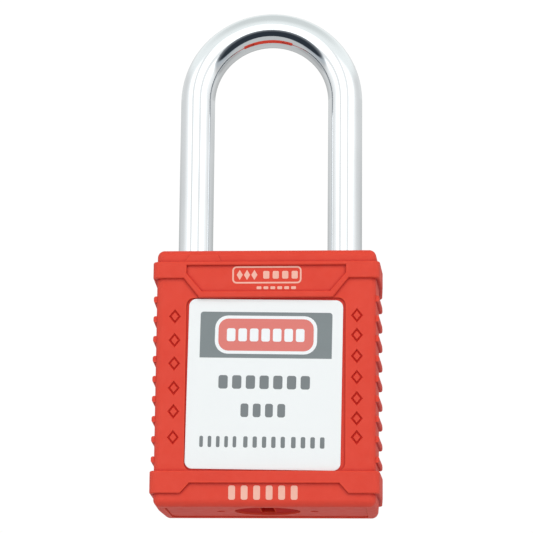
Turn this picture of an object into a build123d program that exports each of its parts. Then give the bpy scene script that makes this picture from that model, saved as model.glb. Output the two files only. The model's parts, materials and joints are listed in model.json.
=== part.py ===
"""Safety lockout padlock: nylon body, chromed shackle, ball-locking core and pin-tumbler cylinder.

Millimetres. +Z is up along the shackle, the front label faces -Y, and the origin is the middle of
the bottom face. The lock is modelled closed but unlocked: the keyway slot lies along Y and both
locking balls are drawn in, so turning the plug a quarter turn clockwise (seen from above) locks it.
"""

import os
from math import cos, radians, sin

from build123d import *

os.makedirs("parts", exist_ok=True)

# ---------------------------------------------------------------- driving dimensions
SHACKLE_RADIUS = 3.0             # 6 mm bar
LEG_X = 13.0                     # half the leg spacing: 20 mm clear between the legs
LOOP_TOP = 85.7                  # centreline at the top of the bend
LIFT = 14.0                      # how far the shackle rises when it opens

BODY_HEIGHT = 43.9
PANEL_HALF_DEPTH = 9.5           # flat panels, front and back
PANEL_HALF_WIDTH = 18.65         # at the vertical corners
SIDE_SWELL = 0.3                 # the sides draft out to the parting line at mid depth
PROUD = 0.5                      # the bands stand this far off the panels
SIDE_PROUD = 0.65                # and this far off the sides
CORNER = 1.2                     # vertical, bottom and top edge radius
SOFT_EDGE = 0.25                 # moulded edge radius on the bands

BAND_TOP_LOW = 38.85
BAND_TOP_HIGH = 41.75
BAND_BOTTOM_LOW = 2.15
BAND_BOTTOM_HIGH = 5.95

RIB_COUNT = 9
RIB_PITCH = 3.43
RIB_TOP_Z = 35.4
RIB_THICKNESS = 1.05
RIB_PROUD = 0.57
RIB_ROUND = 0.36                 # nearly half-round beads with blunt rounded ends
RIB_FRONT_Y = -8.8
RIB_BACK_Y = 2.4                 # the ribs stop just behind the parting line

LABEL_WIDTH = 26.15
LABEL_HEIGHT = 29.0
LABEL_CORNER = 1.25
LABEL_THICKNESS = 0.25
LABEL_CENTRE_X = -0.15
LABEL_CENTRE_Z = 20.68
LABEL_TILT = -0.8                # degrees: stuck on slightly askew
RECESS_DEPTH = 0.4

POCKET_HALF_WIDTH = 17.0         # room inside the shell for the core
POCKET_HALF_DEPTH = 7.5
POCKET_TOP = 41.5
FIT_GAP = 0.1                    # core and cover inside the pocket, each side
COVER_BOTTOM = 0.25              # the closing plate sits just inside the rim of the shell
COVER_TOP = 2.1

CYLINDER_RADIUS = 5.9
PLUG_RADIUS = 4.2
RUNNING_GAP = 0.05               # radial clearance of turning and sliding fits
CYLINDER_TOP = 27.5
BIBLE_REACH = 8.5                # the housing's pin bible points to +X
BIBLE_HALF_WIDTH = 2.2
PIN_COUNT = 6
PIN_PITCH = 3.2
PIN_FIRST_Z = 6.5
PIN_RADIUS = 1.25
KEY_PIN_LENGTHS = (2.2, 2.6, 1.9, 2.4, 2.0, 2.5)
KEYWAY_WIDTH = 2.3
KEYWAY_LENGTH = 8.0

BALL_RADIUS = 2.75
BALL_Z = 36.5
BALL_IN = 7.15                   # ball centre from the lock's axis, drawn in
BALL_OUT = 8.45                  # and pushed out into the shackle notch

FRONT = Plane.XZ
BACK = Plane(origin=(0, 0, 0), x_dir=(-1, 0, 0), z_dir=(0, 1, 0))

# ---------------------------------------------------------------- worked out from them
BAND_HALF_DEPTH = PANEL_HALF_DEPTH + PROUD
BEND_Z = LOOP_TOP - LEG_X
RIB_HEIGHTS = [RIB_TOP_Z - RIB_PITCH * i for i in range(RIB_COUNT)]
PIN_HEIGHTS = [PIN_FIRST_Z + PIN_PITCH * i for i in range(PIN_COUNT)]
CORE_HALF_WIDTH = POCKET_HALF_WIDTH - FIT_GAP
CORE_HALF_DEPTH = POCKET_HALF_DEPTH - FIT_GAP
CORE_BOTTOM = COVER_TOP + FIT_GAP
CORE_TOP = POCKET_TOP - FIT_GAP
LEG_BORE_RADIUS = SHACKLE_RADIUS + RUNNING_GAP


def save(builder, name):
    """Label a finished piece and write its STEP file."""
    builder.part.label = name
    export_step(builder.part, f"parts/{name}.step")


def body_plan(height, proud=0.0, side_proud=0.0):
    """Six-sided plan of the body at one height, standing proud of the panels and sides."""
    depth = PANEL_HALF_DEPTH + proud
    width = PANEL_HALF_WIDTH + side_proud
    middle = width + SIDE_SWELL
    right_half = [(width, -depth), (middle, 0), (width, depth)]
    with BuildSketch(Plane.XY.offset(height)) as plan:
        with BuildLine():
            Polyline(*right_half, *[(-x, y) for x, y in reversed(right_half)], close=True)
        make_face()
        fillet(plan.vertices().filter_by(lambda vertex: abs(vertex.Y) > depth / 2), CORNER)
    return plan.sketch


def mirrored_outline(plane, corners):
    """Closed outline, symmetric left to right, from the corners of its right half."""
    with BuildSketch(plane) as outline:
        with BuildLine():
            Polyline(*corners, *[(-x, z) for x, z in reversed(corners)], close=True)
        make_face()
    return outline.sketch


def rounded_box(width, depth, bottom, top, corner):
    """Upright block about the lock's axis with rounded vertical corners."""
    with BuildPart() as block:
        with BuildSketch(Plane.XY.offset(bottom)):
            RectangleRounded(width, depth, corner)
        extrude(amount=top - bottom)
    return block.part


# ---------------------------------------------------------------- raised bands and ribs of the shell
TAB_BOTTOM = 35.5
TAB_CORNERS = [(14.05, BAND_TOP_LOW + PROUD), (14.05, BAND_TOP_LOW), (11.35, TAB_BOTTOM)]
TOP_PANEL_CORNERS = [(13.55, 41.1), (13.55, 39.7), (10.9, 36.6)]
NOTCH_CORNERS = [(14.2, BAND_BOTTOM_LOW - PROUD), (14.2, BAND_BOTTOM_LOW), (12.6, 3.95)]
NOTCH_TAPER = 8                  # degrees: moulding draft on the notch's step


def band_ring(low, high):
    """Band that runs round the body from low to high, with soft upper and lower edges."""
    with BuildPart() as ring:
        extrude(body_plan(low, PROUD, SIDE_PROUD), amount=high - low)
        ends = ring.faces().sort_by(Axis.Z)
        fillet([*ends[0].edges(), *ends[-1].edges()], SOFT_EDGE)
    return ring.part


def front_tab(side):
    """Tapered tab that hangs from the top band, flush with its face, with soft lower edges."""
    with BuildPart() as tab:
        extrude(mirrored_outline(side.offset(PANEL_HALF_DEPTH - PROUD), TAB_CORNERS), amount=2 * PROUD)
        face_edges = tab.faces().sort_by(Axis(side.origin, side.z_dir))[-1].edges()
        fillet(face_edges.filter_by(lambda edge: edge.center().Z < BAND_TOP_LOW), SOFT_EDGE)
    return tab.part


with BuildPart() as top_band:
    add(band_ring(BAND_TOP_LOW, BAND_TOP_HIGH))
    for side in (FRONT, BACK):
        add(front_tab(side))
        panel = mirrored_outline(side.offset(BAND_HALF_DEPTH), TOP_PANEL_CORNERS)
        extrude(panel, amount=-PROUD, mode=Mode.SUBTRACT)
    for flat in (top_band.faces().sort_by(Axis.Y)[0], top_band.faces().sort_by(Axis.Y)[-1]):
        fillet(flat.inner_wires()[0].edges(), SOFT_EDGE)

with BuildPart() as bottom_band:
    add(band_ring(BAND_BOTTOM_LOW, BAND_BOTTOM_HIGH))
    for side in (FRONT, BACK):
        notch = mirrored_outline(side.offset(BAND_HALF_DEPTH), NOTCH_CORNERS)
        extrude(notch, amount=-PROUD, taper=NOTCH_TAPER, mode=Mode.SUBTRACT)

with BuildPart() as side_rib:
    with BuildSketch(Plane.XY.offset(-RIB_THICKNESS / 2)):
        with BuildLine():
            Polyline(
                (POCKET_HALF_WIDTH + PROUD, RIB_FRONT_Y),
                (PANEL_HALF_WIDTH + RIB_PROUD, RIB_FRONT_Y),
                (PANEL_HALF_WIDTH + RIB_PROUD + SIDE_SWELL, 0),
                (PANEL_HALF_WIDTH + RIB_PROUD + SIDE_SWELL, RIB_BACK_Y),
                (POCKET_HALF_WIDTH + PROUD, RIB_BACK_Y),
                close=True,
            )
        make_face()
    extrude(amount=RIB_THICKNESS)
    fillet(side_rib.faces().sort_by(Axis.X)[-2:].edges(), RIB_ROUND)

# ---------------------------------------------------------------- body_shell: moulded nylon body
LEG_HOLE_RADIUS = 3.3
LEG_HOLE_ROUND = 0.3
RECESS_HALF_WIDTH = 13.55
RECESS_CORNER = 1.35
HEAD_PAD_CORNERS = [
    (-13.9, BAND_TOP_HIGH - PROUD),
    (-13.9, BAND_TOP_HIGH),
    (-13.0, 43.0),
    (-8.3, 43.0),
    (-7.7, BAND_TOP_HIGH),
    (-7.7, BAND_TOP_HIGH - PROUD),
]
HEAD_PAD_PROUD = 0.15
MARK_X = 15.45
MARK_HEIGHTS = {
    -MARK_X: (32.3, 28.2, 24.2, 20.0, 16.0, 11.6),
    MARK_X: (32.4, 29.0, 25.4, 21.8, 18.2, 14.8, 11.6),
}
MARK_HALF_WIDTH = 1.05
MARK_HALF_HEIGHT = 1.3
MARK_STROKE = 0.5
MARK_DEPTH = 0.25
MARK_TAPER = 35                  # degrees: the grooves narrow to their floor
SNAP_WIDTH = 4.0
SNAP_REACH = 0.6
SNAP_LOW = 0.9
SNAP_HIGH = 1.9

with BuildSketch() as mark:
    with BuildLine():
        Polyline(
            (MARK_HALF_WIDTH, 0),
            (0, MARK_HALF_HEIGHT),
            (-MARK_HALF_WIDTH, 0),
            (0, -MARK_HALF_HEIGHT),
            close=True,
        )
    make_face()
    scale(mark.sketch, by=1 - MARK_STROKE / MARK_HALF_WIDTH, mode=Mode.SUBTRACT)

with BuildPart() as body_shell:
    extrude(body_plan(0), amount=BODY_HEIGHT)
    fillet(body_shell.faces().sort_by(Axis.Z)[0].edges(), CORNER)
    fillet(body_shell.faces().sort_by(Axis.Z)[-1].edges(), CORNER)
    add(top_band.part)
    add(bottom_band.part)
    for z in RIB_HEIGHTS:
        add(side_rib.part.moved(Location((0, 0, z))))
        add(side_rib.part.mirror(Plane.YZ).moved(Location((0, 0, z))))
    with BuildSketch(FRONT.offset(PANEL_HALF_DEPTH - PROUD)):
        with BuildLine():
            Polyline(*HEAD_PAD_CORNERS, close=True)
        make_face()
    extrude(amount=PROUD + HEAD_PAD_PROUD)
    for side in (FRONT, BACK):
        with BuildSketch(side.offset(PANEL_HALF_DEPTH)):
            with Locations((0, (BAND_BOTTOM_HIGH + TAB_BOTTOM) / 2)):
                RectangleRounded(2 * RECESS_HALF_WIDTH, TAB_BOTTOM - BAND_BOTTOM_HIGH, RECESS_CORNER)
        extrude(amount=-RECESS_DEPTH, mode=Mode.SUBTRACT)
        with BuildSketch(side.offset(PANEL_HALF_DEPTH)):
            for x, heights in MARK_HEIGHTS.items():
                with Locations(*[(x, z) for z in heights]):
                    add(mark.sketch)
        extrude(amount=-MARK_DEPTH, taper=MARK_TAPER, mode=Mode.SUBTRACT)
    with BuildSketch(Plane.XY):
        RectangleRounded(2 * POCKET_HALF_WIDTH, 2 * POCKET_HALF_DEPTH, CORNER)
    extrude(amount=POCKET_TOP, mode=Mode.SUBTRACT)
    with BuildSketch(Plane.XY.offset(SNAP_LOW - FIT_GAP)):
        Rectangle(2 * (POCKET_HALF_WIDTH + SNAP_REACH), SNAP_WIDTH + 2 * FIT_GAP)
    extrude(amount=SNAP_HIGH - SNAP_LOW + 2 * FIT_GAP, mode=Mode.SUBTRACT)
    with BuildSketch(Plane.XY.offset(POCKET_TOP)):
        with Locations((-LEG_X, 0), (LEG_X, 0)):
            Circle(LEG_HOLE_RADIUS)
    extrude(amount=BODY_HEIGHT - POCKET_TOP, mode=Mode.SUBTRACT)
    rims = body_shell.faces().filter_by(Axis.Z).sort_by(Axis.Z)[-1].edges().filter_by(GeomType.CIRCLE)
    fillet(rims, LEG_HOLE_ROUND)
save(body_shell, "body_shell")

# ---------------------------------------------------------------- bottom_cover: plate that closes the pocket
KEY_HOLE_RADIUS = 5.65
DIMPLE_X = 8.0
DIMPLE_RADIUS = 0.7
DIMPLE_DEPTH = 0.5
POST_RADIUS = 2.6
POST_TOP = 8.0
SCREW_RADIUS = 1.5
SCREW_FIT = 0.02

with BuildPart() as bottom_cover:
    add(rounded_box(2 * CORE_HALF_WIDTH, 2 * CORE_HALF_DEPTH, COVER_BOTTOM, COVER_TOP, CORNER))
    with BuildSketch(Plane.XY.offset(SNAP_LOW)):
        Rectangle(2 * (POCKET_HALF_WIDTH + SNAP_REACH - FIT_GAP), SNAP_WIDTH)
    extrude(amount=SNAP_HIGH - SNAP_LOW)
    with BuildSketch(Plane.XY.offset(COVER_BOTTOM)):
        with Locations((LEG_X, 0)):
            Circle(POST_RADIUS)
    extrude(amount=POST_TOP - COVER_BOTTOM)
    with BuildSketch(Plane.XY):
        Circle(KEY_HOLE_RADIUS)
    extrude(amount=COVER_TOP, mode=Mode.SUBTRACT)
    with BuildSketch(Plane.XY.offset(COVER_BOTTOM)):
        with Locations((-DIMPLE_X, 0), (DIMPLE_X, 0)):
            Circle(DIMPLE_RADIUS)
    extrude(amount=DIMPLE_DEPTH, mode=Mode.SUBTRACT)
    with BuildSketch(Plane.XY.offset(COVER_TOP)):
        with Locations((LEG_X, 0)):
            Circle(SCREW_RADIUS + SCREW_FIT)
    extrude(amount=POST_TOP - COVER_TOP, mode=Mode.SUBTRACT)
save(bottom_cover, "bottom_cover")

# ---------------------------------------------------------------- core_block: metal block that holds the lock works
HEEL_BORE_BOTTOM = 4.0
TOE_BORE_BOTTOM = 28.2
CYLINDER_BORE_RADIUS = CYLINDER_RADIUS + RUNNING_GAP
CAM_TOP = 39.5
PIVOT_RADIUS = 2.0
BALL_BORE_RADIUS = BALL_RADIUS + FIT_GAP
HEEL_PIN_X = -15.7
HEEL_PIN_Z = 30.0
HEEL_PIN_RADIUS = 0.7

with BuildPart() as core_block:
    add(rounded_box(2 * CORE_HALF_WIDTH, 2 * CORE_HALF_DEPTH, CORE_BOTTOM, CORE_TOP, CORNER))
    with BuildSketch(Plane.XY.offset(HEEL_BORE_BOTTOM)):
        with Locations((-LEG_X, 0)):
            Circle(LEG_BORE_RADIUS)
    extrude(amount=CORE_TOP - HEEL_BORE_BOTTOM, mode=Mode.SUBTRACT)
    with BuildSketch(Plane.XY.offset(TOE_BORE_BOTTOM)):
        with Locations((LEG_X, 0)):
            Circle(LEG_BORE_RADIUS)
    extrude(amount=CORE_TOP - TOE_BORE_BOTTOM, mode=Mode.SUBTRACT)
    with BuildSketch(Plane.XY.offset(CORE_BOTTOM)):
        Circle(CYLINDER_BORE_RADIUS)
    extrude(amount=CAM_TOP + FIT_GAP - CORE_BOTTOM, mode=Mode.SUBTRACT)
    with BuildSketch(Plane.XY.offset(CORE_BOTTOM)):
        with Locations(((BIBLE_REACH + FIT_GAP) / 2, 0)):
            Rectangle(BIBLE_REACH + FIT_GAP, 2 * (BIBLE_HALF_WIDTH + RUNNING_GAP))
    extrude(amount=CYLINDER_TOP + FIT_GAP - CORE_BOTTOM, mode=Mode.SUBTRACT)
    with BuildSketch(Plane.XY.offset(CAM_TOP)):
        Circle(PIVOT_RADIUS + RUNNING_GAP)
    extrude(amount=CORE_TOP - CAM_TOP, mode=Mode.SUBTRACT)
    with BuildSketch(Plane.YZ.offset(-LEG_X)):
        with Locations((0, BALL_Z)):
            Circle(BALL_BORE_RADIUS)
    extrude(amount=2 * LEG_X, mode=Mode.SUBTRACT)
    with BuildSketch(FRONT.offset(-CORE_HALF_DEPTH)):
        with Locations((HEEL_PIN_X, HEEL_PIN_Z)):
            Circle(HEEL_PIN_RADIUS + SCREW_FIT)
    extrude(amount=2 * CORE_HALF_DEPTH, mode=Mode.SUBTRACT)
    with BuildSketch(Plane.XY.offset(CORE_BOTTOM)):
        with Locations((LEG_X, 0)):
            Circle(POST_RADIUS + FIT_GAP)
    extrude(amount=POST_TOP + FIT_GAP - CORE_BOTTOM, mode=Mode.SUBTRACT)
    with BuildSketch(Plane.XY.offset(POST_TOP)):
        with Locations((LEG_X, 0)):
            Circle(SCREW_RADIUS + FIT_GAP)
    extrude(amount=TOE_BORE_BOTTOM - POST_TOP, mode=Mode.SUBTRACT)
save(core_block, "core_block")

# ---------------------------------------------------------------- retaining_screw: reached through the open toe bore
SCREW_HEAD_RADIUS = 2.7
SCREW_HEAD_HEIGHT = 2.1
SCREW_TIP = 3.2
HEX_SOCKET_RADIUS = 1.45
HEX_SOCKET_DEPTH = 1.3
SCREW_POINT = 0.4
SCREW_HEAD_ROUND = 0.3
SCREW_HEAD_BOTTOM = TOE_BORE_BOTTOM + RUNNING_GAP

with BuildPart() as retaining_screw:
    with BuildSketch(Plane.XY.offset(SCREW_TIP)):
        with Locations((LEG_X, 0)):
            Circle(SCREW_RADIUS)
    extrude(amount=SCREW_HEAD_BOTTOM - SCREW_TIP)
    chamfer(retaining_screw.edges().sort_by(Axis.Z)[0], SCREW_POINT)
    with BuildSketch(Plane.XY.offset(SCREW_HEAD_BOTTOM)):
        with Locations((LEG_X, 0)):
            Circle(SCREW_HEAD_RADIUS)
    extrude(amount=SCREW_HEAD_HEIGHT)
    fillet(retaining_screw.edges().sort_by(Axis.Z)[-1], SCREW_HEAD_ROUND)
    with BuildSketch(Plane.XY.offset(SCREW_HEAD_BOTTOM + SCREW_HEAD_HEIGHT)):
        with Locations((LEG_X, 0)):
            RegularPolygon(HEX_SOCKET_RADIUS, 6)
    extrude(amount=-HEX_SOCKET_DEPTH, mode=Mode.SUBTRACT)
save(retaining_screw, "retaining_screw")

# ---------------------------------------------------------------- heel_retaining_pin: stops the heel leaving its bore
with BuildPart() as heel_retaining_pin:
    with BuildSketch(FRONT.offset(-CORE_HALF_DEPTH + FIT_GAP)):
        with Locations((HEEL_PIN_X, HEEL_PIN_Z)):
            Circle(HEEL_PIN_RADIUS)
    extrude(amount=2 * (CORE_HALF_DEPTH - FIT_GAP))
save(heel_retaining_pin, "heel_retaining_pin")

# ---------------------------------------------------------------- shackle: bent bar, long heel leg at -X
TOE_TIP = 31.5
HEEL_SHOULDER = 31.0
HEEL_NECK_RADIUS = 1.75
HEEL_HEAD_LOW = 12.0
HEEL_HEAD_HIGH = 15.0
TIP_ROUND = 0.8
NOTCH_RADIUS = 2.9

with BuildPart() as shackle:
    with BuildLine() as bar_line:
        heel_leg = Line((-LEG_X, 0, HEEL_SHOULDER), (-LEG_X, 0, BEND_Z))
        bend = ThreePointArc((-LEG_X, 0, BEND_Z), (0, 0, LOOP_TOP), (LEG_X, 0, BEND_Z))
        toe_leg = Line((LEG_X, 0, BEND_Z), (LEG_X, 0, TOE_TIP))
    with BuildSketch(Plane.XY.offset(HEEL_SHOULDER)):
        with Locations((-LEG_X, 0)):
            Circle(SHACKLE_RADIUS)
    sweep(path=bar_line.wires()[0])
    fillet(shackle.faces().filter_by(Axis.Z).group_by(SortBy.AREA)[-1].sort_by(Axis.X)[-1].edges(), TIP_ROUND)
    with BuildSketch(Plane.XY.offset(HEEL_HEAD_HIGH)):
        with Locations((-LEG_X, 0)):
            Circle(HEEL_NECK_RADIUS)
    extrude(amount=HEEL_SHOULDER - HEEL_HEAD_HIGH)
    with BuildSketch(Plane.XY.offset(HEEL_HEAD_LOW)):
        with Locations((-LEG_X, 0)):
            Circle(SHACKLE_RADIUS)
    extrude(amount=HEEL_HEAD_HIGH - HEEL_HEAD_LOW)
    with BuildSketch(FRONT.offset(-SHACKLE_RADIUS)):
        with Locations((-BALL_OUT, BALL_Z), (BALL_OUT, BALL_Z)):
            Circle(NOTCH_RADIUS)
    extrude(amount=2 * SHACKLE_RADIUS, mode=Mode.SUBTRACT)
save(shackle, "shackle")


def coil_spring(centre, axis, radius, wire_radius, length, turns):
    """Round-wire compression spring that starts at centre and runs along axis."""
    with BuildPart() as spring:
        with BuildLine() as coil:
            Helix(pitch=length / turns, height=length, radius=radius, center=centre, direction=axis)
        with BuildSketch(Plane(origin=coil.wires()[0] @ 0, z_dir=coil.wires()[0] % 0)):
            Circle(wire_radius)
        sweep(path=coil.wires()[0], is_frenet=True)
    return spring


# ---------------------------------------------------------------- shackle_spring: pushes the heel up
SPRING_WIRE = 0.4
SPRING_COIL_RADIUS = 2.4
SPRING_TURNS = 5
SPRING_BOTTOM = HEEL_BORE_BOTTOM + SPRING_WIRE + FIT_GAP
SPRING_TOP = HEEL_HEAD_LOW - SPRING_WIRE - FIT_GAP

shackle_spring = coil_spring(
    (-LEG_X, 0, SPRING_BOTTOM), (0, 0, 1), SPRING_COIL_RADIUS, SPRING_WIRE, SPRING_TOP - SPRING_BOTTOM, SPRING_TURNS
)
save(shackle_spring, "shackle_spring")

# ---------------------------------------------------------------- locking balls
for name, direction in (("heel_ball", -1), ("toe_ball", 1)):
    with BuildPart() as ball:
        with Locations((direction * BALL_IN, 0, BALL_Z)):
            Sphere(BALL_RADIUS)
    save(ball, name)

# ---------------------------------------------------------------- cam: pushes the balls out as it turns
CAM_GAP = 0.07
CAM_HUB_BOTTOM = 29.4
CAM_HUB_TOP = 33.2
CAM_HUB_RADIUS = 5.2
PIVOT_TOP = 41.2
TONGUE_WIDTH = 2.0
TONGUE_LENGTH = 7.0
TONGUE_TOP = 32.9
DWELL_ANGLE = 120
RETURN_ANGLE = 150
CAM_STEP = 10


def cam_radius(angle):
    """Cam surface radius: rises evenly over a quarter turn, dwells, then falls back."""
    travel = BALL_OUT - BALL_IN
    if angle <= 90:
        lift = travel * angle / 90
    elif angle <= DWELL_ANGLE:
        lift = travel
    elif angle <= RETURN_ANGLE:
        lift = travel * (RETURN_ANGLE - angle) / (RETURN_ANGLE - DWELL_ANGLE)
    else:
        lift = 0
    return BALL_IN - BALL_RADIUS - CAM_GAP + lift


with BuildPart() as cam:
    with BuildSketch(Plane.XY.offset(CAM_HUB_TOP)):
        with BuildLine():
            profile = [
                (cam_radius(angle % 180) * cos(radians(angle)), cam_radius(angle % 180) * sin(radians(angle)))
                for angle in range(0, 360, CAM_STEP)
            ]
            Polyline(*profile, close=True)
        make_face()
    extrude(amount=CAM_TOP - CAM_HUB_TOP)
    with BuildSketch(Plane.XY.offset(CAM_HUB_BOTTOM)):
        Circle(CAM_HUB_RADIUS)
    extrude(amount=CAM_HUB_TOP - CAM_HUB_BOTTOM)
    with BuildSketch(Plane.XY.offset(CAM_TOP)):
        Circle(PIVOT_RADIUS)
    extrude(amount=PIVOT_TOP - CAM_TOP)
    with BuildSketch(Plane.XY.offset(CAM_HUB_BOTTOM)):
        Rectangle(TONGUE_LENGTH + 2 * FIT_GAP, TONGUE_WIDTH + 2 * FIT_GAP)
    extrude(amount=TONGUE_TOP + FIT_GAP - CAM_HUB_BOTTOM, mode=Mode.SUBTRACT)
save(cam, "cam")

# ---------------------------------------------------------------- cylinder_housing: fixed barrel and pin bible
HOUSING_BOTTOM = COVER_TOP + RUNNING_GAP
FLANGE_RADIUS = 4.8
FLANGE_TOP = 3.1
CHAMBER_RADIUS = PIN_RADIUS + RUNNING_GAP
SPRING_CAP_THICKNESS = 0.55
SPRING_CAP_HALF_WIDTH = 1.35
SPRING_CAP_MARGIN = 1.6
CAP_FLOOR = BIBLE_REACH - SPRING_CAP_THICKNESS

with BuildPart() as cylinder_housing:
    with BuildSketch(Plane.XY.offset(HOUSING_BOTTOM)):
        Circle(CYLINDER_RADIUS)
        with Locations((BIBLE_REACH / 2, 0)):
            Rectangle(BIBLE_REACH, 2 * BIBLE_HALF_WIDTH)
    extrude(amount=CYLINDER_TOP - HOUSING_BOTTOM)
    with BuildSketch(Plane.XY.offset(HOUSING_BOTTOM)):
        Circle(PLUG_RADIUS + RUNNING_GAP)
    extrude(amount=CYLINDER_TOP - HOUSING_BOTTOM, mode=Mode.SUBTRACT)
    with BuildSketch(Plane.XY.offset(HOUSING_BOTTOM)):
        Circle(FLANGE_RADIUS + FIT_GAP)
    extrude(amount=FLANGE_TOP + RUNNING_GAP - HOUSING_BOTTOM, mode=Mode.SUBTRACT)
    with BuildSketch(Plane.YZ):
        with Locations(*[(0, z) for z in PIN_HEIGHTS]):
            Circle(CHAMBER_RADIUS)
    extrude(amount=BIBLE_REACH, mode=Mode.SUBTRACT)
    with BuildSketch(Plane.YZ.offset(CAP_FLOOR)):
        with Locations((0, (PIN_HEIGHTS[0] + PIN_HEIGHTS[-1]) / 2)):
            Rectangle(
                2 * SPRING_CAP_HALF_WIDTH + 2 * RUNNING_GAP,
                PIN_HEIGHTS[-1] - PIN_HEIGHTS[0] + 2 * (SPRING_CAP_MARGIN + RUNNING_GAP),
            )
    extrude(amount=SPRING_CAP_THICKNESS, mode=Mode.SUBTRACT)
save(cylinder_housing, "cylinder_housing")

# ---------------------------------------------------------------- plug: turns in the housing with the key
CLIP_GROOVE_LOW = CYLINDER_TOP + RUNNING_GAP
CLIP_GROOVE_HIGH = 28.3
CLIP_GROOVE_RADIUS = 3.5
PLUG_SHOULDER = 29.2
PLUG_BOTTOM = 1.65
KEYWAY_TOP = 26.0
KEYWAY_FLOOR_Y = -3.7
KEYWAY_ROOF_Y = 1.2
WARD_DEPTH = 0.55
WARD_WIDTH = 0.8
RIGHT_WARD_Y = -0.3
LEFT_WARD_Y = -2.1
KEY_CHAMBER_FLOOR = 0.45

with BuildPart() as plug:
    with BuildSketch(Plane.XY.offset(PLUG_BOTTOM)):
        Circle(FLANGE_RADIUS)
    extrude(amount=FLANGE_TOP - PLUG_BOTTOM)
    with BuildSketch(Plane.XY.offset(FLANGE_TOP)):
        Circle(PLUG_RADIUS)
    extrude(amount=PLUG_SHOULDER - FLANGE_TOP)
    with BuildSketch(Plane.XY.offset(CLIP_GROOVE_LOW)):
        Circle(PLUG_RADIUS)
        Circle(CLIP_GROOVE_RADIUS, mode=Mode.SUBTRACT)
    extrude(amount=CLIP_GROOVE_HIGH - CLIP_GROOVE_LOW, mode=Mode.SUBTRACT)
    with BuildSketch(Plane.XY.offset(PLUG_SHOULDER)):
        Rectangle(TONGUE_LENGTH, TONGUE_WIDTH)
    extrude(amount=TONGUE_TOP - PLUG_SHOULDER)
    with BuildSketch(Plane.XY.offset(PLUG_BOTTOM)):
        with Locations((0, (KEYWAY_FLOOR_Y + KEYWAY_ROOF_Y) / 2)):
            Rectangle(KEYWAY_WIDTH, KEYWAY_ROOF_Y - KEYWAY_FLOOR_Y)
        with Locations((KEYWAY_WIDTH / 2, RIGHT_WARD_Y), (-KEYWAY_WIDTH / 2, LEFT_WARD_Y)):
            Rectangle(2 * WARD_DEPTH, WARD_WIDTH, mode=Mode.SUBTRACT)
    extrude(amount=KEYWAY_TOP - PLUG_BOTTOM, mode=Mode.SUBTRACT)
    with BuildSketch(BACK.offset(KEY_CHAMBER_FLOOR)):
        with Locations(*[(0, z) for z in PIN_HEIGHTS]):
            Circle(CHAMBER_RADIUS)
    extrude(amount=PLUG_RADIUS, mode=Mode.SUBTRACT)
save(plug, "plug")

# ---------------------------------------------------------------- plug_cap: coloured disc seen in the bottom hole
PLUG_CAP_RADIUS = 5.5
PLUG_CAP_BOTTOM = 0.55
PLUG_CAP_EDGE = 0.3

with BuildPart() as plug_cap:
    with BuildSketch(Plane.XY.offset(PLUG_CAP_BOTTOM)):
        Circle(PLUG_CAP_RADIUS)
        Rectangle(KEYWAY_WIDTH, KEYWAY_LENGTH, mode=Mode.SUBTRACT)
    extrude(amount=PLUG_BOTTOM - PLUG_CAP_BOTTOM)
    chamfer(plug_cap.edges().filter_by(GeomType.CIRCLE).sort_by(Axis.Z)[0], PLUG_CAP_EDGE)
save(plug_cap, "plug_cap")

# ---------------------------------------------------------------- plug_clip: keeps the plug in the housing
CLIP_OUTER_RADIUS = 5.2
CLIP_MOUTH = 4.6

with BuildPart() as plug_clip:
    with BuildSketch(Plane.XY.offset(CLIP_GROOVE_LOW + RUNNING_GAP)):
        Circle(CLIP_OUTER_RADIUS)
        Circle(CLIP_GROOVE_RADIUS + RUNNING_GAP, mode=Mode.SUBTRACT)
        with Locations((0, -CLIP_OUTER_RADIUS)):
            Rectangle(CLIP_MOUTH, CLIP_OUTER_RADIUS, mode=Mode.SUBTRACT)
    extrude(amount=CLIP_GROOVE_HIGH - CLIP_GROOVE_LOW - 2 * RUNNING_GAP)
save(plug_clip, "plug_clip")

# ---------------------------------------------------------------- tumbler pins and their springs, bottom to top
SHEAR_GAP = 0.1
PIN_TIP = 0.6
PIN_SHOULDER = 0.2               # keeps a turned key pin's outer edge inside the housing's bore
DRIVER_LENGTH = 1.5
DRIVER_INNER_X = PLUG_RADIUS + SHEAR_GAP
DRIVER_OUTER_X = DRIVER_INNER_X + DRIVER_LENGTH
PIN_SPRING_WIRE = 0.12
PIN_SPRING_RADIUS = 0.95
PIN_SPRING_TURNS = 4

for number, (z, length) in enumerate(zip(PIN_HEIGHTS, KEY_PIN_LENGTHS), start=1):
    with BuildPart() as key_pin:
        with BuildSketch(BACK.offset(PLUG_RADIUS - SHEAR_GAP - length)):
            with Locations((0, z)):
                Circle(PIN_RADIUS)
        extrude(amount=length)
        chamfer(key_pin.edges().filter_by(GeomType.CIRCLE).sort_by(Axis.Y)[0], PIN_TIP)
        chamfer(key_pin.edges().filter_by(GeomType.CIRCLE).sort_by(Axis.Y)[-1], PIN_SHOULDER)
    save(key_pin, f"key_pin_{number}")

    with BuildPart() as driver_pin:
        with BuildSketch(Plane.YZ.offset(DRIVER_INNER_X)):
            with Locations((0, z)):
                Circle(PIN_RADIUS)
        extrude(amount=DRIVER_LENGTH)
        chamfer(driver_pin.edges().filter_by(GeomType.CIRCLE), SHEAR_GAP)
    save(driver_pin, f"driver_pin_{number}")

    spring_start = DRIVER_OUTER_X + PIN_SPRING_WIRE + RUNNING_GAP
    spring_length = CAP_FLOOR - PIN_SPRING_WIRE - RUNNING_GAP - spring_start
    pin_spring = coil_spring(
        (spring_start, 0, z), (1, 0, 0), PIN_SPRING_RADIUS, PIN_SPRING_WIRE, spring_length, PIN_SPRING_TURNS
    )
    save(pin_spring, f"pin_spring_{number}")

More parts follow.
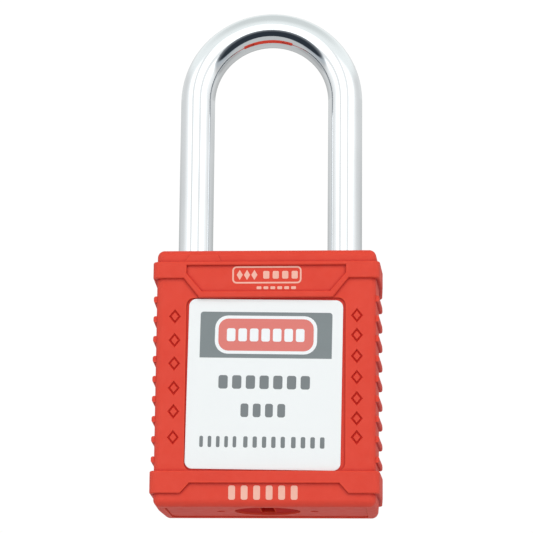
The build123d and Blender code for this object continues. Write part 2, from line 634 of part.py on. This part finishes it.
# ---------------------------------------------------------------- spring_cap: strip that closes the pin chambers
with BuildPart() as spring_cap:
    with BuildSketch(Plane.YZ.offset(CAP_FLOOR)):
        with Locations((0, (PIN_HEIGHTS[0] + PIN_HEIGHTS[-1]) / 2)):
            Rectangle(2 * SPRING_CAP_HALF_WIDTH, PIN_HEIGHTS[-1] - PIN_HEIGHTS[0] + 2 * SPRING_CAP_MARGIN)
    extrude(amount=SPRING_CAP_THICKNESS)
save(spring_cap, "spring_cap")

# ---------------------------------------------------------------- labels, one stuck in each recess
for name, side in (("front_label", FRONT), ("back_label", BACK)):
    with BuildPart() as label:
        with BuildSketch(side.offset(PANEL_HALF_DEPTH - RECESS_DEPTH)):
            with Locations((LABEL_CENTRE_X, LABEL_CENTRE_Z)):
                with Locations(Rotation(0, 0, LABEL_TILT)):
                    RectangleRounded(LABEL_WIDTH, LABEL_HEIGHT, LABEL_CORNER)
        extrude(amount=LABEL_THICKNESS)
    save(label, name)
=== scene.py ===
"""Looks of the safety padlock: camera, studio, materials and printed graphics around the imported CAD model."""

import json
from math import cos, pi, radians, sin

import bpy
from mathutils import Matrix, Vector


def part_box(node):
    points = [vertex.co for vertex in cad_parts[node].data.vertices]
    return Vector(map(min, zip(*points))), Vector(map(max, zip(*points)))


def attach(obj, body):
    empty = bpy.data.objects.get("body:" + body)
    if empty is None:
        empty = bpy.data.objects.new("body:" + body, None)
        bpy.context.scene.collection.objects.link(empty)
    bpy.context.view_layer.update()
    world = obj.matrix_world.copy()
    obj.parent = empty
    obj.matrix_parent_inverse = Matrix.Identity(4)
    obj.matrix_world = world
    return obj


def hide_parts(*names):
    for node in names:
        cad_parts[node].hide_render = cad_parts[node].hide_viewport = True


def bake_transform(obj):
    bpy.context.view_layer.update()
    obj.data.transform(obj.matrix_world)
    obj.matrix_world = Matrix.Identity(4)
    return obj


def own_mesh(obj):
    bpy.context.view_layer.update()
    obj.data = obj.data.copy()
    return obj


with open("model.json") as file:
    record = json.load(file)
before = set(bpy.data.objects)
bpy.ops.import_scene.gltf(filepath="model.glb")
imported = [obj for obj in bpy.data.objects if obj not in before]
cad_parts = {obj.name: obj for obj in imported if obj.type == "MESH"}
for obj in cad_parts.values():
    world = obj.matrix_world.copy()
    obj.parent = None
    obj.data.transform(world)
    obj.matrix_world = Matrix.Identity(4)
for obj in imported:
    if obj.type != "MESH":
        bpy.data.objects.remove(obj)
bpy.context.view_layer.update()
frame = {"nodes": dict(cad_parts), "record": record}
nodes = frame["nodes"]
MM = 0.001

# ---------------------------------------------------------------- camera
CAMERA_TARGET = Vector((-0.61, 0.0, 42.95)) * MM
CAMERA_AZIMUTH = radians(3.99)       # to the right of straight in front
CAMERA_ELEVATION = radians(-12.16)   # below the lock, looking up
CAMERA_ROLL = radians(0.57)
CAMERA_DISTANCE = 431.4 * MM
CAMERA_LENS = 167.4                  # mm, on a 36 mm sensor


def make_camera():
    """Camera at the viewing angle of the photograph."""
    back = Vector((
        sin(CAMERA_AZIMUTH) * cos(CAMERA_ELEVATION),
        -cos(CAMERA_AZIMUTH) * cos(CAMERA_ELEVATION),
        sin(CAMERA_ELEVATION),
    ))
    level_right = Vector((cos(CAMERA_AZIMUTH), sin(CAMERA_AZIMUTH), 0))
    level_up = back.cross(level_right)
    right = cos(CAMERA_ROLL) * level_right + sin(CAMERA_ROLL) * level_up
    up = -sin(CAMERA_ROLL) * level_right + cos(CAMERA_ROLL) * level_up
    data = bpy.data.cameras.new("camera")
    data.lens = CAMERA_LENS
    data.sensor_width = 36
    data.clip_start = 0.01
    camera = bpy.data.objects.new("camera", data)
    turn = Matrix((right, up, back)).transposed().to_4x4()
    camera.matrix_world = Matrix.Translation(CAMERA_TARGET + back * CAMERA_DISTANCE) @ turn
    bpy.context.scene.collection.objects.link(camera)
    bpy.context.scene.camera = camera


make_camera()

# ---------------------------------------------------------------- node helpers


class Graph:
    """A node tree and the few steps that the studio and the materials share."""

    def __init__(self, tree):
        self.tree = tree

    def add(self, kind, **settings):
        """New shader node of this kind with these settings."""
        node = self.tree.nodes.new("ShaderNode" + kind)
        for name, value in settings.items():
            setattr(node, name, value)
        return node

    def set_inputs(self, node, values):
        """Link or set a node's first sockets."""
        for socket, value in zip(node.inputs, values):
            if isinstance(value, tuple):
                socket.default_value = (*value, 1)
            elif isinstance(value, (int, float)):
                socket.default_value = value
            else:
                self.tree.links.new(value, socket)
        return node.outputs[0]

    def blend(self, factor, first, second):
        """Mix of two colours by a 0 to 1 value."""
        return self.set_inputs(self.add("MixRGB"), (factor, first, second))


# ---------------------------------------------------------------- studio
FLOOR_Z = -0.06                      # under the camera, which looks up at the lock
FLOOR_HALF = 3.0


def make_floor():
    """Pale floor, below the camera's line of sight."""
    mesh = bpy.data.meshes.new("floor")
    half = FLOOR_HALF
    corners = [(-half, -half, FLOOR_Z), (half, -half, FLOOR_Z), (half, half, FLOOR_Z), (-half, half, FLOOR_Z)]
    mesh.from_pydata(corners, [], [(0, 1, 2, 3)])
    floor = bpy.data.objects.new("floor", mesh)
    bpy.context.scene.collection.objects.link(floor)
    material = bpy.data.materials.new("pale_floor")
    material.use_nodes = True
    shader = material.node_tree.nodes["Principled BSDF"]
    shader.inputs["Base Color"].default_value = (0.86, 0.86, 0.86, 1)
    shader.inputs["Roughness"].default_value = 0.8
    mesh.materials.append(material)
    floor.visible_glossy = False     # polished steel mirrors the studio, not the floor's edge


class Sky(Graph):
    """World shader: a studio drawn as ramps over the azimuth and elevation of a direction."""

    def __init__(self):
        world = bpy.data.worlds.new("studio")
        bpy.context.scene.world = world
        world.use_nodes = True
        super().__init__(world.node_tree)
        self.tree.nodes.clear()
        split = self.add("SeparateXYZ")
        self.tree.links.new(self.add("TexCoord").outputs["Generated"], split.inputs[0])
        x, y, z = split.outputs
        azimuth = self.math("ARCTAN2", x, self.math("MULTIPLY", y, -1.0))
        self.azimuth = self.math("MULTIPLY", azimuth, 180 / pi)
        self.elevation = self.math("MULTIPLY", self.math("ARCSINE", z), 180 / pi)

    def math(self, operation, *values):
        """Result of a maths node."""
        return self.set_inputs(self.add("Math", operation=operation), values)

    def rise(self, value, start, stop):
        """0 at start, 1 at stop, smooth between; start may be the larger."""
        node = self.add("MapRange", interpolation_type="SMOOTHSTEP")
        return self.set_inputs(node, (value, start, stop, 0.0, 1.0))

    def around(self, stops):
        """Grey level by azimuth, through (degrees, level) stops from -180 to 180."""
        node = self.add("ValToRGB")
        ramp = node.color_ramp
        while len(ramp.elements) < len(stops):
            ramp.elements.new(0.5)
        for element, (degrees, level) in zip(ramp.elements, stops):
            element.position = degrees / 360 + 0.5
            element.color = (level * GREY_CAST[0], level * GREY_CAST[1], level * GREY_CAST[2], 1)
        place = self.math("ADD", self.math("DIVIDE", self.azimuth, 360.0), 0.5)
        self.tree.links.new(place, node.inputs["Fac"])
        return node.outputs["Color"]

    def oval(self, stretch):
        """Squared distance from the middle of the dark gap, 1 on its outline; stretch widens the outline."""
        aside = self.math("SUBTRACT", self.azimuth, GAP_CENTRE[0])
        above = self.math("SUBTRACT", self.elevation, GAP_CENTRE[1])
        across = self.math("DIVIDE", aside, GAP_HALF_SIZE[0] * stretch)
        upright = self.math("DIVIDE", above, GAP_HALF_SIZE[1])
        return self.math("ADD", self.math("POWER", across, 2.0), self.math("POWER", upright, 2.0))

    def finish(self, light):
        """Light the scene with this colour, matt surfaces a little less. The camera sees plain white."""
        lamp = self.add("Background")
        self.tree.links.new(light, lamp.inputs["Color"])
        path = self.add("LightPath")
        overhead = self.math("MULTIPLY", self.rise(self.elevation, *OVERHEAD_FROM), OVERHEAD_DROP)
        share = self.math("ADD", overhead, 1 - DIFFUSE_SHARE)
        drop = self.math("MULTIPLY", path.outputs["Is Diffuse Ray"], share)
        self.tree.links.new(self.math("SUBTRACT", 1.0, drop), lamp.inputs["Strength"])
        backdrop = self.add("Background")
        backdrop.inputs["Strength"].default_value = BACKDROP_LEVEL
        backdrop.inputs["Color"].default_value = (1, 1, 1, 1)
        mix = self.add("MixShader")
        self.set_inputs(mix, (path.outputs["Is Camera Ray"], lamp.outputs[0], backdrop.outputs[0]))
        self.tree.links.new(mix.outputs[0], self.add("OutputWorld").inputs["Surface"])


GREY_CAST = (0.985, 1.0, 0.995)      # the studio's greys lean very slightly green
BACKDROP_LEVEL = 1.02
DIFFUSE_SHARE = 0.98                 # the key light makes up the rest, from above
OVERHEAD_DROP = 0.6                  # matt surfaces see even less of the ceiling
OVERHEAD_FROM = (30.0, 60.0)         # degrees of elevation over which that sets in
SOFTBOX = 1.5                        # brightness of the front, above plain white
CEILING_EDGE = (0.93, 0.97, 0.96)
CEILING = (0.70, 0.74, 0.73)
TABLE = (0.55, 0.57, 0.57)
DARK_GAP = (0.028, 0.037, 0.048)     # unlit room between the table and the softbox
GAP_EDGE = (0.28, 0.30, 0.32)        # its upper part catches some light
GAP_CENTRE = (-3.0, -28.5)           # degrees of azimuth and elevation
GAP_HALF_SIZE = (61.0, 22.0)
GAP_HALO = (0.46, 0.50, 0.53)        # dim patches past its two ends
HALO_STRETCH = 1.34


def make_world():
    """Soft white studio: a broad softbox in front, grey sides, and a dark lens-shaped gap low in front."""
    sky = Sky()
    level = sky.around([
        (-180, 0.48), (-150, 0.54), (-128, 0.62), (-112, 0.70), (-96, 0.73), (-84, 0.79), (-74, 0.92),
        (-60, 1.06), (-48, SOFTBOX), (-39, SOFTBOX), (-36, 0.90), (-25, 0.90), (-22, SOFTBOX), (11, SOFTBOX),
        (14, 0.93), (25, 0.93), (28, SOFTBOX), (50, SOFTBOX), (62, 1.06), (75, 0.95), (84, 0.82), (96, 0.74),
        (112, 0.68), (128, 0.60), (150, 0.52), (180, 0.48),
    ])
    upper = sky.around([
        (-180, 0.62), (-160, 0.74), (-132, 0.78), (-118, 0.74), (-90, 0.76), (-72, 0.92), (-48, SOFTBOX),
        (-39, SOFTBOX), (-36, 0.90), (-25, 0.90), (-22, SOFTBOX), (11, SOFTBOX), (14, 0.93), (25, 0.93),
        (28, SOFTBOX), (52, SOFTBOX), (74, 0.9), (90, 0.76), (112, 0.74), (130, 0.78), (165, 0.78),
        (180, 0.64),
    ])
    lower = sky.around([
        (-180, 0.60), (-130, 0.56), (-108, 0.42), (-96, 0.52), (-86, 0.58),
        (86, 0.58), (96, 0.50), (108, 0.42), (130, 0.56), (180, 0.60),
    ])
    light = sky.blend(sky.rise(sky.elevation, 12.0, 18.0), level, upper)
    light = sky.blend(sky.rise(sky.elevation, 26.0, 39.0), light, CEILING_EDGE)
    light = sky.blend(sky.rise(sky.elevation, 42.0, 72.0), light, CEILING)
    light = sky.blend(sky.rise(sky.elevation, -6.0, -18.0), light, lower)
    light = sky.blend(sky.rise(sky.elevation, -46.0, -54.0), light, TABLE)
    gap = sky.blend(sky.rise(sky.elevation, -5.0, -22.0), GAP_EDGE, DARK_GAP)
    light = sky.blend(sky.rise(sky.oval(HALO_STRETCH), 1.25, 0.7), light, GAP_HALO)
    light = sky.blend(sky.rise(sky.oval(1.0), 1.12, 0.84), light, gap)
    sky.finish(light)


def make_light(name, place, aim, size, power):
    """Square soft light at place, pointed at aim; metres and watts."""
    data = bpy.data.lights.new(name, "AREA")
    data.size = size
    data.energy = power
    light = bpy.data.objects.new(name, data)
    light.location = place
    light.rotation_mode = "QUATERNION"
    light.rotation_quaternion = (Vector(place) - Vector(aim)).to_track_quat("Z", "Y")
    bpy.context.scene.collection.objects.link(light)
    light.visible_glossy = False


make_floor()
make_world()
make_light("key_light", (0.10, -0.50, 0.62), (0, 0, 0.03), 0.35, 1.68)
bpy.context.scene.view_settings.view_transform = "Standard"

# ---------------------------------------------------------------- materials


class Finish(Graph):
    """One procedural material, with the noise and ramp nodes that feed its Principled shader."""

    def __init__(self, name, roughness, metallic=0.0, specular=0.5):
        self.material = bpy.data.materials.new(name)
        self.material.use_nodes = True
        super().__init__(self.material.node_tree)
        self.shader = self.tree.nodes["Principled BSDF"]
        self.shader.inputs["Roughness"].default_value = roughness
        self.shader.inputs["Metallic"].default_value = metallic
        self.shader.inputs["Specular IOR Level"].default_value = specular
        self.place = self.add("TexCoord").outputs["Object"]

    def scaled(self, stretch):
        """Object coordinates multiplied by a vector, to draw a pattern out along an axis."""
        node = self.add("VectorMath", operation="MULTIPLY")
        self.tree.links.new(self.place, node.inputs[0])
        node.inputs[1].default_value = stretch
        return node.outputs[0]

    def noise(self, grain, detail=2.0, stretch=None):
        """Noise whose grain is about this many millimetres."""
        node = self.add("TexNoise")
        node.inputs["Scale"].default_value = 1 / (grain * MM)
        node.inputs["Detail"].default_value = detail
        self.tree.links.new(self.scaled(stretch) if stretch else self.place, node.inputs["Vector"])
        return node.outputs["Fac"]

    def span(self, value, low, high, start=0.3, stop=0.7):
        """Map start to stop, or the middle of a noise, onto low to high."""
        return self.set_inputs(self.add("MapRange"), (value, start, stop, low, high))

    def clouded(self, grain, colour, shade, detail=2.0):
        """Colour that drifts to shade in patches of about this many millimetres."""
        return self.blend(self.span(self.noise(grain, detail), 0.0, 1.0), colour, shade)

    def closeness(self, reach, inside=False):
        """1 on open surfaces, less within this many mm of a groove, or of an outer edge if inside."""
        node = self.add("AmbientOcclusion", samples=8, inside=inside, only_local=True)
        node.inputs["Distance"].default_value = reach * MM
        return node.outputs["AO"]

    def drive(self, socket, value):
        """Feed one of the shader's sockets."""
        self.tree.links.new(value, self.shader.inputs[socket])

    def bump(self, height, depth, below=None):
        """Bump of this depth in millimetres, stacked on another bump if given."""
        node = self.add("Bump")
        node.inputs["Distance"].default_value = depth * MM
        self.tree.links.new(height, node.inputs["Height"])
        if below:
            self.tree.links.new(below, node.inputs["Normal"])
        self.tree.links.new(node.outputs["Normal"], self.shader.inputs["Normal"])
        return node.outputs["Normal"]


PAINTED_GROOVE_SHADE = (0.52, 0.006, 0.003)   # painted shade: red nylon darkened in its grooves and crevices
PAINTED_EDGE_HIGHLIGHT = (0.78, 0.070, 0.022)     # painted highlight: paler red along its outer edges


def moulded_nylon(name, colour, deep, roughness=0.62, specular=0.5):
    """Satin moulded nylon: fine spark-eroded grain, slight clouding and flow marks, with painted shade in its
    grooves and a painted highlight along its edges.
    """
    finish = Finish(name, roughness, specular=specular)
    # painted highlight: paler red blended into the base colour along outer edges, found by ambient occlusion
    # from inside
    edge = finish.span(finish.closeness(0.3, inside=True), 0.8, 0.0, 0.5, 0.95)
    with_painted_highlight = finish.blend(edge, finish.clouded(6.0, colour, deep, 3.0), PAINTED_EDGE_HIGHLIGHT)
    # painted shade: deep red blended into the base colour near grooves and crevices, where ambient occlusion is
    # high
    painted_shade_mask = finish.span(finish.closeness(0.6), 0.0, 1.0, 0.45, 0.95)
    finish.drive("Base Color", finish.blend(painted_shade_mask, PAINTED_GROOVE_SHADE, with_painted_highlight))
    finish.drive("Roughness", finish.span(finish.noise(1.5, 3.0), roughness - 0.05, roughness + 0.05))
    grain = finish.bump(finish.noise(0.22, 2.0), 0.012)
    finish.bump(finish.noise(2.4, 2.0), 0.02, grain)
    return finish.material


def bright_chrome():
    """Bright chrome plate with faint draw lines and a few dull patches from handling."""
    finish = Finish("bright_chrome", 0.04, metallic=1.0)
    finish.drive("Base Color", finish.clouded(9.0, (0.90, 0.92, 0.94), (0.84, 0.86, 0.88)))
    finish.drive("Roughness", finish.span(finish.noise(3.0, 4.0), 0.03, 0.09))
    finish.bump(finish.noise(0.12, 2.0, (1.0, 1.0, 0.03)), 0.0006)
    return finish.material


def machined_metal(name, colour, dull, roughness, stretch=(1.0, 1.0, 12.0)):
    """Turned or drawn metal with fine lines."""
    finish = Finish(name, roughness, metallic=1.0)
    lines = finish.noise(0.5, 3.0, stretch)
    finish.drive("Base Color", finish.blend(finish.span(lines, 0.0, 1.0), colour, dull))
    finish.drive("Roughness", finish.span(finish.noise(1.2, 3.0), roughness * 0.8, roughness * 1.3))
    finish.bump(lines, 0.004)
    return finish.material


def laminated_vinyl(name, colour, shade):
    """Printed label film under a clear laminate."""
    finish = Finish(name, 0.36)
    finish.drive("Base Color", finish.clouded(5.0, colour, shade, 3.0))
    finish.drive("Roughness", finish.span(finish.noise(2.0), 0.34, 0.38))
    finish.bump(finish.noise(1.2, 2.0), 0.001)
    return finish.material


EVEN = (1.0, 1.0, 1.0)               # no lines drawn out along an axis
MATERIALS = {
    "red_nylon": moulded_nylon("red_nylon", (0.735, 0.049, 0.022), (0.71, 0.043, 0.019)),
    "red_cap": moulded_nylon("red_cap", (0.50, 0.016, 0.012), (0.44, 0.012, 0.010), 0.85, 0.05),
    "die_cast_core": machined_metal("die_cast_core", (0.62, 0.62, 0.63), (0.52, 0.52, 0.53), 0.45, EVEN),
    "zinc_steel": machined_metal("zinc_steel", (0.62, 0.63, 0.60), (0.50, 0.51, 0.50), 0.3),
    "steel": machined_metal("steel", (0.56, 0.57, 0.59), (0.46, 0.47, 0.49), 0.22),
    "spring_steel": machined_metal("spring_steel", (0.48, 0.48, 0.50), (0.36, 0.36, 0.38), 0.3, EVEN),
    "nickel_silver": machined_metal("nickel_silver", (0.68, 0.65, 0.58), (0.56, 0.54, 0.48), 0.28),
    "brass": machined_metal("brass", (0.78, 0.56, 0.24), (0.62, 0.43, 0.17), 0.26),
    "label": laminated_vinyl("label", (0.845, 0.865, 0.875), (0.838, 0.858, 0.868)),
    "chrome_steel": bright_chrome(),
}
INKS = {
    "grey": laminated_vinyl("grey_ink", (0.195, 0.225, 0.235), (0.185, 0.215, 0.225)),
    "red": laminated_vinyl("red_ink", (0.71, 0.182, 0.156), (0.70, 0.176, 0.150)),
    "white": laminated_vinyl("white_ink", (0.86, 0.88, 0.90), (0.85, 0.87, 0.89)),
    "text": laminated_vinyl("text_ink", (0.18, 0.20, 0.21), (0.17, 0.19, 0.20)),
    "pale": laminated_vinyl("pale_ink", (0.86, 0.46, 0.37), (0.84, 0.43, 0.34)),
}

for entry in frame["record"]["subparts"]:
    node = nodes[entry["node"]]
    node.data.materials.clear()
    node.data.materials.append(MATERIALS[entry["material_slot"]])

# ---------------------------------------------------------------- printed graphics
FILM = 0.02                          # mm, thickness of one layer of ink
FILM_BEVEL = 0.012
ARC_STEPS = 6                        # straight pieces in a rounded corner
LABEL_TILT = radians(-0.8)           # the label is stuck on slightly askew


def rounded(x, z, width, height, corner, low_corner=None):
    """Outline of a rounded rectangle centred on x, z, its lower corners different if given; mm."""
    points = []
    for turn in range(4):
        side_x = 1 if turn in (0, 3) else -1
        side_z = 1 if turn in (0, 1) else -1
        radius = low_corner if low_corner and side_z < 0 else corner
        for step in range(ARC_STEPS + 1):
            angle = (turn + step / ARC_STEPS) * pi / 2
            points.append((
                x + side_x * (width / 2 - radius) + radius * cos(angle),
                z + side_z * (height / 2 - radius) + radius * sin(angle),
            ))
    return points


def diamond(x, z, width, height):
    """Outline of an upright diamond; mm."""
    return [(x + width / 2, z), (x, z + height / 2), (x - width / 2, z), (x, z - height / 2)]


def row(x, z, width, height, count, gap, corner):
    """Outlines of equal rounded blocks that fill a row of this width."""
    step = (width + gap) / count
    first = x - width / 2 + (step - gap) / 2
    return [rounded(first + step * i, z, step - gap, height, corner) for i in range(count)]


def shrunk(outline, inset):
    """The outline drawn in towards its centre by this much along each axis."""
    centre_x = sum(x for x, z in outline) / len(outline)
    centre_z = sum(z for x, z in outline) / len(outline)
    half_x = max(x for x, z in outline) - centre_x
    half_z = max(z for x, z in outline) - centre_z
    return [
        (centre_x + (x - centre_x) * (1 - inset / half_x), centre_z + (z - centre_z) * (1 - inset / half_z))
        for x, z in outline
    ]


def tilted(outlines, centre):
    """The outlines turned with the label about its centre."""
    turn = (cos(LABEL_TILT), sin(LABEL_TILT))
    return [
        [(
            centre[0] + (x - centre[0]) * turn[0] - (z - centre[1]) * turn[1],
            centre[1] + (x - centre[0]) * turn[1] + (z - centre[1]) * turn[0],
        ) for x, z in outline]
        for outline in outlines
    ]


def layers(outline, side, depth, grow=1):
    """The outline at the three levels of a film: base, edge and bevelled face."""
    rings = ((outline, 0), (outline, FILM - FILM_BEVEL), (shrunk(outline, grow * FILM_BEVEL), FILM))
    return [[(-side * x * MM, side * (depth + proud) * MM, z * MM) for x, z in ring] for ring, proud in rings]


def walls(faces, first, count, flip=False):
    """Side faces of a film whose three rings of count points start at first."""
    for start in (first, first + count):
        for i in range(count):
            j = (i + 1) % count
            face = (start + i, start + j, start + count + j, start + count + i)
            faces.append(face[::-1] if flip else face)


def add_film(name, tone, points, faces):
    """Make the ink mesh and let it ride on the lock."""
    mesh = bpy.data.meshes.new(name)
    mesh.from_pydata(points, [], faces)
    mesh.materials.append(INKS[tone])
    film = bpy.data.objects.new(name, mesh)
    bpy.context.scene.collection.objects.link(film)
    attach(film, "lock_body")


def ink(name, tone, outlines, depth, side=-1):
    """Soft-edged ink films on the front (side -1) or back (1), their base this far from mid depth; mm."""
    points = []
    faces = []
    for outline in outlines:
        first = len(points)
        count = len(outline)
        for ring in layers(outline, side, depth):
            points += ring
        walls(faces, first, count)
        faces.append(tuple(first + 2 * count + i for i in range(count)))
        faces.append(tuple(first + i for i in reversed(range(count))))
    add_film(name, tone, points, faces)


def ink_frame(name, tone, shape, stroke, depth, side=-1):
    """Ink film in the form of a rounded frame; shape is x, z, width, height, corner in mm."""
    x, z, width, height, corner = shape
    outer = rounded(*shape)
    inner = rounded(x, z, width - 2 * stroke, height - 2 * stroke, corner - stroke)
    count = len(outer)
    points = [point for ring in layers(outer, side, depth) for point in ring]
    points += [point for ring in layers(inner, side, depth, -1) for point in ring]
    faces = []
    walls(faces, 0, count)
    walls(faces, 3 * count, count, flip=True)
    for i in range(count):
        j = (i + 1) % count
        faces.append((2 * count + i, 2 * count + j, 5 * count + j, 5 * count + i))
        faces.append((i, 3 * count + i, 3 * count + j, j))
    add_film(name, tone, points, faces)


def label_centre_and_face(node, side):
    """Centre (x, z) and outer depth of a label, in mm; x is measured to the viewer's right of that side."""
    low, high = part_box(node)
    middle = (low + high) / 2 / MM
    outer = (high.y if side > 0 else -low.y) / MM
    return (-side * middle.x, middle.z), outer


front_centre, front_depth = label_centre_and_face("front_label", -1)


def front_ink(name, tone, outlines, layer):
    """Ink on the front label, above this many layers."""
    ink(name, tone, tilted(outlines, front_centre), front_depth + layer * FILM)


HEADER = (-0.04, 29.05, 22.38, 7.9)  # centre x and z, width, height
FIELD = (-0.04, 29.08)
front_ink("front_header", "grey", [rounded(*HEADER, 0.5, 0.06)], 0)
front_ink("front_field_rim", "white", [rounded(*FIELD, 17.33, 6.58, 2.2)], 1)
front_ink("front_field", "red", [rounded(*FIELD, 16.15, 5.52, 1.7)], 2)
front_ink("front_field_blocks", "white", row(-0.1, 29.05, 13.16, 2.23, 7, 0.5, 0.35), 3)
front_ink("front_line_1", "text", row(-0.17, 20.97, 15.46, 2.3, 7, 0.75, 0.4), 0)
front_ink("front_line_2", "text", row(-0.28, 16.17, 7.52, 2.3, 4, 0.75, 0.4), 0)
words = row(-7.73, 10.8, 6.22, 1.9, 5, 0.8, 0.25) + row(0.06, 10.8, 7.0, 1.9, 5, 0.85, 0.25)
words += row(7.4, 10.8, 5.6, 1.9, 4, 0.85, 0.25)
front_ink("front_line_3", "text", words, 0)

# pad-printed ornament and plain bars on the two flat areas of the bands
PANEL_FACE = 9.5                     # depth of the two flat areas in front of mid depth
ornament = [diamond(-4.5 + 1.25 * i, 39.45, 1.05, 1.75) for i in range(3)]
ornament += row(2.45, 39.45, 5.9, 1.35, 4, 0.55, 0.25)
ornament += row(1.75, 37.2, 6.7, 0.5, 6, 0.35, 0.15)
ink("top_ornament", "pale", ornament, PANEL_FACE)
ink_frame("top_ornament_frame", "pale", (0.13, 39.45, 11.8, 3.0, 0.75), 0.28, PANEL_FACE)
ink("bottom_bars", "pale", row(-0.18, 2.3, 11.6, 2.4, 6, 0.95, 0.35), PANEL_FACE)

# the owner's form on the back label
(form_x, form_z), back_depth = label_centre_and_face("back_label", 1)
FORM_HEADER_UP = 11.0                # above the label's centre
FORM_STEP = 4.1                      # between ruled lines
header_z = form_z + FORM_HEADER_UP
ink("back_header", "grey", [rounded(form_x, header_z, 22.4, 4.2, 0.5)], back_depth, 1)
ink("back_header_bar", "white", [rounded(form_x, header_z, 12.0, 1.4, 0.5)], back_depth + FILM, 1)
ruled = [rounded(form_x + 3.2, form_z + 5.2 - FORM_STEP * i, 15.6, 0.28, 0.12) for i in range(4)]
ruled += [rounded(form_x - 8.2, form_z + 5.9 - FORM_STEP * i, 5.4, 1.1, 0.35) for i in range(4)]
ink("back_form_lines", "text", ruled, back_depth, 1)
ink_frame("back_form_box", "grey", (form_x, form_z - 11.4, 22.0, 2.9, 0.6), 0.3, back_depth, 1)

# ---------------------------------------------------------------- coil springs in place of the CAD ones
WIRE_SIDES = 14
STEPS_PER_TURN = 28
SHACKLE_TURNS, SHACKLE_WIRE = 5, 0.4      # wire radius in mm
DRIVER_TURNS, DRIVER_WIRE = 4, 0.12


def coil(name, node, axis, turns, wire):
    """Coil spring in the place of a CAD one; axis is 0 along X or 2 along Z, wire is its radius in mm."""
    low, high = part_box(node)
    middle = (low + high) / 2
    wire *= MM
    radius = (high.y - low.y) / 2 - wire
    start, length = low[axis] + wire, high[axis] - low[axis] - 2 * wire
    steps = turns * STEPS_PER_TURN
    points = []
    for step in range(steps + 1):
        turn = 2 * pi * step / STEPS_PER_TURN
        for side in range(WIRE_SIDES):
            around = 2 * pi * side / WIRE_SIDES
            reach = radius + wire * cos(around)
            point = Vector((0, middle.y + reach * sin(turn), 0))
            point[axis] = start + length * step / steps + wire * sin(around)
            point[2 - axis] = middle[2 - axis] + reach * cos(turn)
            points.append(point)
    flip = -1 if axis else 1         # keeps the faces outward whichever way the coil winds
    faces = []
    for step in range(steps):
        for side in range(WIRE_SIDES):
            after = (side + 1) % WIRE_SIDES
            near, far = step * WIRE_SIDES, (step + 1) * WIRE_SIDES
            faces.append((near + side, near + after, far + after, far + side)[::flip])
    faces.append(tuple(reversed(range(WIRE_SIDES)))[::flip])
    faces.append(tuple(steps * WIRE_SIDES + side for side in range(WIRE_SIDES))[::flip])
    mesh = bpy.data.meshes.new(name)
    mesh.from_pydata(points, [], faces)
    mesh.shade_smooth()
    mesh.materials.append(MATERIALS["spring_steel"])
    spring = bpy.data.objects.new(name, mesh)
    bpy.context.scene.collection.objects.link(spring)
    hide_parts(node)
    return spring, low, high


for number in range(1, 7):
    spring, low, high = coil(f"driver_coil_{number}", f"pin_spring_{number}", 0, DRIVER_TURNS, DRIVER_WIRE)
    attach(spring, "lock_body")
    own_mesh(spring)

spring, low, high = coil("shackle_coil", "shackle_spring", 2, SHACKLE_TURNS, SHACKLE_WIRE)
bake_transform(spring)
